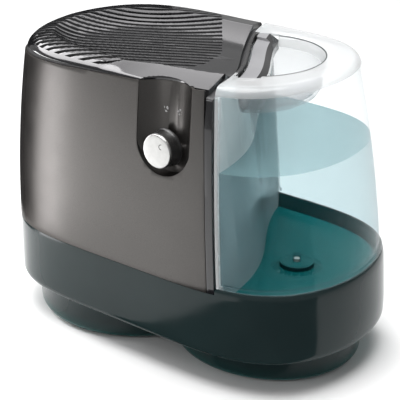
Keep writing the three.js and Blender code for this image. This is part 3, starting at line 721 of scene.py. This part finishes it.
def cover_height(x, y, inset):
    """The cover's top surface: a rim that falls outwards, round a dish that runs out to the seam."""
    front = np.interp(x, CROWN_X, CROWN_FRONT)
    width = np.where(y < 0, front, CROWN_BACK)
    fall = CROWN_FALL - CROWN_TILT * y / HALF_DEPTH
    drop = fall * np.clip(1 - inset / width, 0, 1) ** np.where(x < -40, 1.8, 1.15)
    front_left = np.clip((10 - x) / 160, 0, 1) * np.clip((10 - y) / 70, 0, 1)
    drop += CORNER_FALL * front_left * np.clip(1 - inset / 10, 0, 1) ** 1.5
    edge = 3.0
    rounding = edge - np.sqrt(np.maximum(edge**2 - np.maximum(edge - inset, 0) ** 2, 0))
    back = np.clip((y + 70) / 90, 0, 1)
    wall = DISH_WALL + DISH_WALL_MORE * back * back * (3 - 2 * back)
    inward = np.clip((inset - width) / wall, 0, 1)
    dish = DISH_DEPTH * (1 - (1 - inward) ** 2)
    return TOP_Z - rounding - drop - dish


def cover_solid(name, first_inset, lowered, bottom=290.0):
    """The solid under the cover's top surface, drawn in by an inset and lowered."""
    insets = [0.0, 0.25, 0.6, 1.1, 1.7, 2.4, 3.2, 4.2] + list(np.linspace(5.4, 112.0, 84))
    insets = [i for i in insets if i >= first_inset]
    rings = [ring(z, insets[0]) for z in np.arange(bottom, 291.0, 20.0)]
    for inset in insets:
        top = ring(TOP_Z, inset)
        top[:, 2] = cover_height(top[:, 0], top[:, 1], inset) - lowered
        rings.append(top)
    return loft(name, rings)


def make_panel():
    """The black upright panel between the shell and the tank."""
    upright = barrel("panel", JOINT_Z + 0.4, TOP_Z, 0.3)
    whole = common(upright, seam_band(SHELL_SEAM + 0.5, PANEL_SEAM),
                   cover_solid("tool", 0.0, COVER_STEP, 60.0))
    hollow = common(seam_band(SHELL_SEAM - 5, PANEL_SEAM - 3.4), barrel("tool", JOINT_Z - 5, TOP_Z - 22, 8))
    return round_edges(cut(whole, hollow), 0.8, 2)


def slot_bars():
    """The slanting slots, held inside the outline where they end."""
    bars = []
    for i in range(-13, 14):
        bar = block(-230, 230, -SLOT_WIDTH / 2, SLOT_WIDTH / 2, 280, 360)
        for v in bar.data.vertices:
            x, y = v.co.x, v.co.y + i * SLOT_PITCH * MM
            v.co.x = x * math.cos(SLOT_ANGLE) - y * math.sin(SLOT_ANGLE) + SLOT_CENTRE_X * MM
            v.co.y = x * math.sin(SLOT_ANGLE) + y * math.cos(SLOT_ANGLE)
        bars.append(bar)
    outline = np.array(SLOT_END + ((-260, -130), (-260, 130)), float)[::-1]
    area = loft("tool", [np.column_stack([outline, np.full(len(outline), z)]) for z in (282.0, 358.0)])
    return common(join(bars[0], *bars[1:]), area, barrel("tool", 285, TOP_Z + 10, 5.6))


def make_cover():
    """The black cover: crown, dish and slots, with a skirt down to the shell."""
    upper = cut(cover_solid("cover", 0.0, 0.0), right_of_seam(COVER_RIGHT))
    skirt_end = join(above_cover_edge(), cut(barrel("tool", 300, TOP_Z + 5, 7.0), recess(WALL + 0.4)))
    outer = cut(common(upper, skirt_end), recess())
    hollow = cut(cover_solid("tool", WALL + 1.4, COVER_PLATE), right_of_seam(COVER_RIGHT - 3), recess(4))
    return round_edges(cut(outer, hollow, slot_bars()), 0.55, 2, 34)


def on_cover_skirt(middle, normal):
    """The upright outer edge of the cover, below its crown."""
    along = (abs(middle.x - PLAN_X) / (half_left(TOP_Z) - 3.0)) ** END_POWER
    across = (middle.y / (half_depth(TOP_Z) - 3.0)) ** 2
    return abs(normal.z) < 0.3 and (along + across > 1.0 or middle.z < 317.0)


cover = paint(make_cover(), PIANO_BLACK, INNER_BLACK)
inside_faces(cover, on_cover_skirt, 1)
finish_piece(named(cover, "slotted_cover"), "housing", "black", "top_cover")
panel = paint(make_panel(), PIANO_BLACK, INNER_BLACK)
inside_faces(panel, lambda middle, normal: normal.z > 0.5, 1)
finish_piece(named(panel, "tank_side_panel"), "housing", "black", "side_panel")


# ---- control ----
def make_knob():
    """The knob's black grip, with a low flange at its foot."""
    length = KNOB_BACK - KNOB_FRONT - 3
    profile = [(0, 0), (KNOB_R + 1.5, 0), (KNOB_R + 1.5, 1.4), (KNOB_R + 0.6, 2.4), (KNOB_R, 3.4),
               (KNOB_R - 0.3, length - 0.8), (KNOB_R - 1.0, length), (0, length)]
    return lay_along_y(turned("knob", profile, 0, 0, 128), KNOB_X, KNOB_BACK, KNOB_Z)


def make_knob_face():
    """The slightly domed metal face of the knob."""
    top = 2.9
    radius = KNOB_R - 0.7
    profile = [(0, 0), (radius, 0), (radius, top - 1.1), (radius - 0.3, top - 0.45),
               (radius - 1.0, top - 0.1), (radius - 2.0, top), (radius * 0.5, top + 0.08), (0, top + 0.1)]
    face = turned("knob_face", profile, 0, 0, 128)
    return lay_along_y(face, KNOB_X, KNOB_FRONT + 3, KNOB_Z)


knob_body = round_edges(make_knob(), 0.2, 1, 60)
finish_piece(named(paint(knob_body, KNOB_BLACK), "knob_body"), "knob", "knob_black", "knob")
finish_piece(named(paint(shade(make_knob_face(), 60), SILVER), "knob_disc"), "knob", "silver", "knob_face")


def ring_mark(name, radius, width, start, end, depth=0.15, segments=24):
    """A flat printed arc, drawn from one angle to another round the origin."""
    angles = np.radians(np.linspace(start, end, segments))
    outer = np.column_stack([np.cos(angles), np.sin(angles)]) * radius
    inner = np.column_stack([np.cos(angles), np.sin(angles)])[::-1] * (radius - width)
    outline = np.concatenate([outer, inner])
    return loft(name, [np.column_stack([outline, np.full(len(outline), z)]) for z in (0.0, depth)])


def make_pointer():
    """The small dark arc that marks the knob's setting."""
    arc_mark = ring_mark("pointer", 3.0, 0.8, 80, 280)
    return lay_along_y(arc_mark, KNOB_X + 6.0, KNOB_FRONT + 0.05, KNOB_Z + 6.0)


def make_speed_marks():
    """Two generic signs for low and high air speed, printed on the back of the recess."""
    marks = []
    for side, blades in ((-1, 3), (1, 5)):
        x = KNOB_X + 9.5 * side
        z = KNOB_Z + 36.0
        back = RECESS_FLOOR - RECESS_R + RECESS_LEAN * (z - KNOB_Z)
        y = back + math.sqrt(RECESS_R**2 - (x - KNOB_X) ** 2)
        for k in range(blades):
            start = 360 * k / blades
            mark = ring_mark("sign", 3.4, 1.9, start, start + 200 / blades, 0.9, 8)
            marks.append(lay_along_y(mark, x, y + 0.55, z))
    return join(marks[0], *marks[1:])


finish_piece(named(paint(make_pointer(), KNOB_BLACK), "knob_pointer"), "knob", "knob_black")
finish_piece(named(paint(make_speed_marks(), PRINT_GREY), "speed_signs"), "housing", "inner")


# ---- tank ----
TANK_INSET, RIM_INSET, SKIRT_INSET = 1.2, 1.9, 5.0
SKIRT_TAPER = 0.1 * (RIM_Z - TANK_FLOOR)
SEAM_WALL = 3.2
SHOULDER = 9.0


def pocket_solid(grow, low):
    """The hand pocket's oval hollow, grown by a wall."""
    radius = POCKET_A + grow
    high = TOP_Z + 20
    wall = [(radius - 26, low), (radius - 16, low + 1.2), (radius - 9, low + 5.5), (radius - 5, low + 12),
            (radius - 2, TOP_Z - 12), (radius - 0.6, TOP_Z - 3), (radius + 0.8, TOP_Z + 0.5),
            (radius + 0.8, high)]
    scale = (POCKET_B + grow) / radius
    return turned("tool", [(0, low), *wall, (0, high)], POCKET_X, POCKET_Y, 160, scale)


def strap_solid(side, end, low, high):
    """The band between the seam and the pocket that the strap fills, grown at its sides and ends."""
    radius = POCKET_A + end
    reach = turned("strap", [(0, low), (radius, low), (radius, high), (0, high)], POCKET_X, POCKET_Y, 160,
                   (POCKET_B + end) / radius)
    return common(reach, seam_band(7.2 - side, 31 + side))


def make_tank():
    """The clear tank with its skirt, shoulder, hand pocket, filling neck and seat for the strap."""
    seat = RIM_Z + 0.6
    foot = SKIRT_INSET + SKIRT_TAPER
    chamfer = 1.5
    outer_rings = [(TANK_FLOOR, foot + chamfer), (TANK_FLOOR + chamfer, foot), (RIM_Z, SKIRT_INSET),
                   (seat, SKIRT_INSET), (seat + 0.05, RIM_INSET), (seat + 0.9, TANK_INSET)]
    outer_rings += [(z, TANK_INSET) for z in np.linspace(seat + 6, TOP_Z - SHOULDER - 1.2, 32)]
    outer_rings += [(TOP_Z - SHOULDER - 0.4, RIM_INSET), (TOP_Z - SHOULDER + 0.2, RIM_INSET)]
    outer_rings += [(TOP_Z - drop, RIM_INSET + inset) for drop, inset in arc(SHOULDER - 0.5, 9)]
    outer = common(stacked("tank", outer_rings), right_of_seam(TANK_SEAM))
    inner_inset = TANK_INSET + WALL
    inner_rings = [(TANK_FLOOR + WALL, foot + WALL), (RIM_Z + WALL, SKIRT_INSET + WALL),
                   (seat + WALL + 0.1, SKIRT_INSET + WALL), (seat + WALL + 0.4, inner_inset)]
    inner_rings += [(z, inner_inset) for z in np.linspace(seat + 9, TOP_Z - SHOULDER, 30)]
    inner_rings += [(TOP_Z - WALL - drop, inner_inset + inset) for drop, inset in arc(SHOULDER - WALL, 6)]
    inner = common(stacked("tool", inner_rings), right_of_seam(TANK_SEAM + SEAM_WALL))
    pocket_wall = common(pocket_solid(2.6, POCKET_FLOOR - 2.6), right_of_seam(TANK_SEAM))
    hand = common(pocket_solid(0, POCKET_FLOOR), right_of_seam(TANK_SEAM + SEAM_WALL))
    neck = rod(*VALVE, NECK_R, 84, TANK_FLOOR + 1, 96)
    mouth = rod(*VALVE, NECK_R - 3, 80, TANK_FLOOR + WALL + 1, 96)
    seat_cut = strap_solid(0.4, 6.4, STRAP_Z - 0.4, TOP_Z + 5)
    tank = cut(join(outer, neck), cut(inner, pocket_wall), hand, mouth, seat_cut)
    return round_edges(tank, 0.6, 2)


def on_rim(middle, normal):
    """The tank's thick frosted rim, from its shoulder to the pocket's lip."""
    return middle.z > TOP_Z - 9.5 and normal.z > -0.3


def on_pocket(middle, normal):
    """The walls and floor of the hand pocket."""
    around = ((middle.x - POCKET_X) / (POCKET_A + 4)) ** 2 + ((middle.y - POCKET_Y) / (POCKET_B + 4)) ** 2
    return middle.z > POCKET_FLOOR - 4 and around < 1.0


def beyond_seam(middle):
    """How far a point lies to the right of the seam, along X."""
    curve = bezier(SEAM, 56)
    rise = middle.z - SEAM_Z
    seam = np.interp(middle.y - rise * SEAM_LEAN[1], curve[:, 1], curve[:, 0]) + rise * SEAM_LEAN[0]
    return middle.x - seam


def on_seam_wall(middle, normal):
    """The inner and outer faces of the milky wall along the seam."""
    return abs(normal.z) < 0.3 and beyond_seam(middle) < TANK_SEAM + 3.25 and middle.z < TOP_Z - 9.5


def twin(obj):
    """A copy of an object with a mesh of its own."""
    copy = obj.copy()
    copy.data = obj.data.copy()
    scene.collection.objects.link(copy)
    return copy


def part_off(whole, region):
    """Cuts the part inside a region off a solid and gives it back as a piece of its own."""
    part = common(twin(whole), twin(region))
    cut(whole, region)
    return part


def make_corner_posts(tank):
    """The tank's thick upright corners along the seam, cut out of its wall."""
    band = cut(barrel("tool", RIM_Z + 2, TOP_Z - 11, 0), barrel("tool", RIM_Z, TOP_Z - 9, 6.5))
    return part_off(tank, common(seam_band(TANK_SEAM - 1, TANK_SEAM + 3.4), band))


def make_seam_shade(tank):
    """The clear tank's top between the seam and the strap, cut off to be painted black: the painted shade of
    the gap there.
    """
    beside = common(seam_band(TANK_SEAM - 1, 7.2), block(-100, 200, -60, 72, STRAP_Z - 1, TOP_Z + 4))
    return part_off(tank, beside)


tank_wall = shade(make_tank(), 32)
posts = make_corner_posts(tank_wall)
seam_shade = make_seam_shade(tank_wall)
tank = paint(tank_wall, CLEAR_TANK, FROSTED_RIM, MILKY_WALL, CLEAR_FLOOR, POCKET_CLEAR)
inside_faces(tank, on_seam_wall, 2)
inside_faces(tank, on_pocket, 4)
inside_faces(tank, on_rim, 1)
inside_faces(tank, lambda middle, normal: middle.z < JOINT_Z and abs(normal.z) > 0.5, 3)
finish_piece(named(tank, "tank"), "tank", "clear", "tank_shell")
finish_piece(named(paint(shade(posts), FROSTED_RIM), "tank_corner_posts"), "tank", "clear")
# painted shade: the strip is painted black as the dark gap beside the strap
finish_piece(named(paint(shade(seam_shade), KNOB_BLACK), "tank_seam_shade"), "tank", "clear")
mouth_z = TOP_Z - 0.5
mouth_radii = (POCKET_A + 1.2, POCKET_B + 1.2)
mouth_line = wire("mouth", (POCKET_X, POCKET_Y), mouth_radii, (mouth_z, mouth_z), 0.8, 1.0, closed=True)
mouth_line = common(cut(mouth_line, strap_solid(0.5, 8, 300, 340)), right_of_seam(TANK_SEAM + 2))
finish_piece(named(paint(shade(mouth_line), SMOKE_LINE), "pocket_mouth_line"), "tank", "clear")


def make_water():
    """The water, just clear of the tank's inner walls, with room for the valve."""
    inset = TANK_INSET + WALL + 0.15
    floor_inset, skirt_inset, skirt_top = 10.2, 8.2, 120.3
    levels = [(TANK_FLOOR + WALL + 0.2, floor_inset), (RIM_Z + 1.5, skirt_inset), (skirt_top, skirt_inset),
              (skirt_top + 0.5, inset)]
    levels += [(z, inset) for z in np.linspace(126, WATER_Z, 20)]
    body = common(stacked("water", levels), right_of_seam(TANK_SEAM + 3.35))
    valve_room = [(0, 90), (19, 90), (19, 107.5), (4.6, 107.5), (4.6, 115.5), (0, 115.5)]
    return shade(cut(body, turned("tool", valve_room, *VALVE, 48)))


water = paint(make_water(), WATER_SIDE, WATER_TOP, CLEAR_FLOOR)
# painted reflection: the top face takes the darker water colour
inside_faces(water, lambda middle, normal: normal.z > 0.9 and middle.z > WATER_Z - 1, 1)
inside_faces(water, lambda middle, normal: normal.z < -0.5 and middle.z < 110, 2)
finish_piece(named(water, "water"), "tank", "clear")
for clear_piece in (tank, water, posts):
    clear_piece.visible_shadow = False


def make_strap():
    """The carrying strap: a flat band that ends in a raised roll at the back, with a lip hanging under its
    right edge as painted shade.
    """
    plate = strap_solid(0, 6, STRAP_Z, TOP_Z - 3.2)
    roll = common(strap_solid(0, 6, STRAP_Z, TOP_Z - 0.2), block(-50, 150, POCKET_Y + 56, 120, 300, 340))
    # A strip hanging under the strap's right edge, painted black as the shade beneath the strap.
    lip = common(strap_solid(0, 0, STRAP_Z - 7, STRAP_Z + 1), seam_band(27.5, 31))
    return round_edges(cut(join(plate, roll, lip), right_of_seam(32.0, -1.6)), 1.0, 2)


strap = paint(make_strap(), STRAP_GREY, PIANO_BLACK)
# painted shade: faces turned to +X and those below the strap are painted piano black
inside_faces(strap, lambda middle, normal: normal.x > 0.3 or middle.z < STRAP_Z - 1, 1)
finish_piece(named(strap, "carry_strap"), "tank", "strap", "tank_handle")


SPRING_R, SPRING_WIRE, SPRING_TURNS = 8.0, 0.8, 3.5


def make_spring():
    """The valve's spring, coiled between the ends of the CAD spring; the real one shortens by the plunger's
    travel, this coil keeps one length.
    """
    low, high = (corner.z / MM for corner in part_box("valve_spring"))
    low, high = low + SPRING_WIRE, high - SPRING_WIRE
    coil = shade(wire("spring", VALVE, (SPRING_R, SPRING_R), (low, high), SPRING_WIRE, SPRING_TURNS))
    finish_piece(named(paint(coil, STEEL), "valve_coil"), "cap", "steel", "valve_spring")
    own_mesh(coil)


make_spring()

# ---- finishes of the CAD nodes that stay ----
KEPT = {
    RUBBER: ("foot_left_front", "foot_left_rear", "foot_right_front", "foot_right_rear", "cord_gland"),
    INNER_BLACK: ("filter_base_ring", "filter_top_ring", "fan_deck", "deck_rail_left", "deck_rail_right",
                  "motor_bracket", "fan", "rotary_switch"),
    WICK: ("wick_filter",),
    STEEL: ("deck_screw_1", "deck_screw_2", "deck_screw_3", "deck_screw_4", "motor_screw_1", "motor_screw_2",
            "motor_screw_3", "motor_shaft", "switch_shaft"),
    MOTOR_STEEL: ("fan_motor",),
    CAP_TEAL: ("tank_cap", "valve_cage"),
    SILICONE: ("cap_gasket", "valve_seal"),
    VALVE_WHITE: ("valve_plunger",),
}
for material, names in KEPT.items():
    for name in names:
        shade(paint(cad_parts[name], material), 40)


# ---- floor, light and camera ----
def area_light(name, place_at, aim, size, power, colour=(1, 1, 1)):
    data = bpy.data.lights.new(name, "AREA")
    data.shape = "RECTANGLE"
    data.size, data.size_y = size
    data.energy = power
    data.color = colour
    light = bpy.data.objects.new(name, data)
    light.location = place_at
    light.rotation_euler = (Vector(aim) - Vector(place_at)).to_track_quat("-Z", "Y").to_euler()
    scene.collection.objects.link(light)
    return light


def make_floor():
    """A wide pale floor."""
    far = 4000
    corners = [[-far, -far, 0], [far, -far, 0], [far, far, 0], [-far, far, 0]]
    floor = make_object("floor", corners, [(0, 1, 2, 3)])
    material, nodes, links, shader = new_material("pale_floor")
    pale = clouded(nodes, links, noise(nodes, links, 3.0), (0.86, 0.86, 0.86), (0.88, 0.88, 0.88))
    links.new(pale, shader.inputs["Base Color"])
    shader.inputs["Roughness"].default_value = 0.9
    shader.inputs["Specular IOR Level"].default_value = 0.1
    paint(floor, material)


def make_world():
    world = bpy.data.worlds.new("studio")
    scene.world = world
    world.use_nodes = True
    background = world.node_tree.nodes["Background"]
    background.inputs["Color"].default_value = (1.0, 1.0, 1.0, 1)
    background.inputs["Strength"].default_value = 0.32


def make_camera():
    data = bpy.data.cameras.new("camera")
    data.lens = 117.0
    data.sensor_width = 36.0
    data.shift_x = 0.0175
    data.shift_y = -0.001
    camera = bpy.data.objects.new("camera", data)
    aim = Vector((PLAN_X * MM, 0, 0.141))
    distance = 1.468
    azimuth, elevation = math.radians(38.8), math.radians(23.1)
    away = Vector((math.sin(azimuth) * math.cos(elevation), -math.cos(azimuth) * math.cos(elevation),
                   math.sin(elevation)))
    camera.location = aim + away * distance
    camera.rotation_euler = (-away).to_track_quat("-Z", "Y").to_euler()
    scene.collection.objects.link(camera)
    scene.camera = camera


def reflection_card(name, corners):
    """A dark studio flag that shows only in mirror-like reflections."""
    card = make_object(name, corners, [tuple(range(len(corners)))])
    material, nodes, links, shader = new_material(name)
    shader.inputs["Base Color"].default_value = (0.01, 0.01, 0.01, 1)
    shader.inputs["Roughness"].default_value = 1.0
    shader.inputs["Specular IOR Level"].default_value = 0.0
    paint(card, material)
    card.visible_camera = False
    card.visible_diffuse = False
    card.visible_shadow = False
    card.visible_transmission = False


def glow_card(name, azimuths, elevations, strength, reach=2.4, steps=24, rows=8):
    """A curved studio screen that shows only in reflections, as a patch of the sky round the object.

    Azimuth 0 is the front, elevation is seen from the object's top, and the reach is in metres.
    """
    verts, faces = [], []
    for azimuth in np.radians(np.linspace(*azimuths, steps)):
        for elevation in np.radians(np.linspace(*elevations, rows)):
            flat = reach * math.cos(elevation) / MM
            verts.append([flat * math.sin(azimuth), -flat * math.cos(azimuth),
                          320 + reach * math.sin(elevation) / MM])
    for i in range(steps - 1):
        for k in range(rows - 1):
            n = i * rows + k
            faces.append((n, n + rows, n + rows + 1, n + 1))
    card = make_object(name, verts, faces)
    material, nodes, links, shader = new_material(name)
    shader.inputs["Base Color"].default_value = (0, 0, 0, 1)
    shader.inputs["Emission Color"].default_value = (1.0, 0.985, 1.0, 1)
    shader.inputs["Emission Strength"].default_value = strength
    card.data.materials.append(material)
    for ray in ("camera", "diffuse", "transmission", "shadow", "volume_scatter"):
        setattr(card, "visible_" + ray, False)


make_floor()
make_world()
make_camera()
key = area_light("key", (-1.37, 0.79, 1.53), (0, 0, 0.3), (0.62, 0.62), 8.5)
key.visible_glossy = False
area_light("overhead", (-0.1, -0.1, 2.3), (-0.1, -0.1, 0), (1.8, 1.8), 78)
area_light("left_floor", (-0.56, -0.28, 0.36), (-0.56, -0.28, 0), (0.3, 0.3), 3.0)
area_light("front_fill", (-0.5, -2.0, 1.2), (0, 0, 0.2), (1.2, 0.8), 8)
glow_card("soft_screen", (-170, -108), (27, 50), 1.9)
glow_card("bright_screen", (-112, -60), (24, 76), 6.5)
glow_card("left_screen", (-56, -43), (-37, -6), 7.5, 0.5)
glow_card("dark_screen", (-110, -61), (-37, -6), 0.0, 0.5)
FLAG_ON_FLOOR = ((-60, -150), (40, -300), (180, -480), (260, -1500), (1500, -1500), (1500, 60), (260, -60))
FLAG_AT_LEFT = ((-560, 0, 1), (-460, 520, 1), (-460, 520, 460), (-560, 0, 460))
reflection_card("flag_right", [(x, y, 2) for x, y in FLAG_ON_FLOOR])
reflection_card("flag_left", FLAG_AT_LEFT)
scene.cycles.transparent_max_bounces = 24
scene.view_settings.view_transform = "Standard"
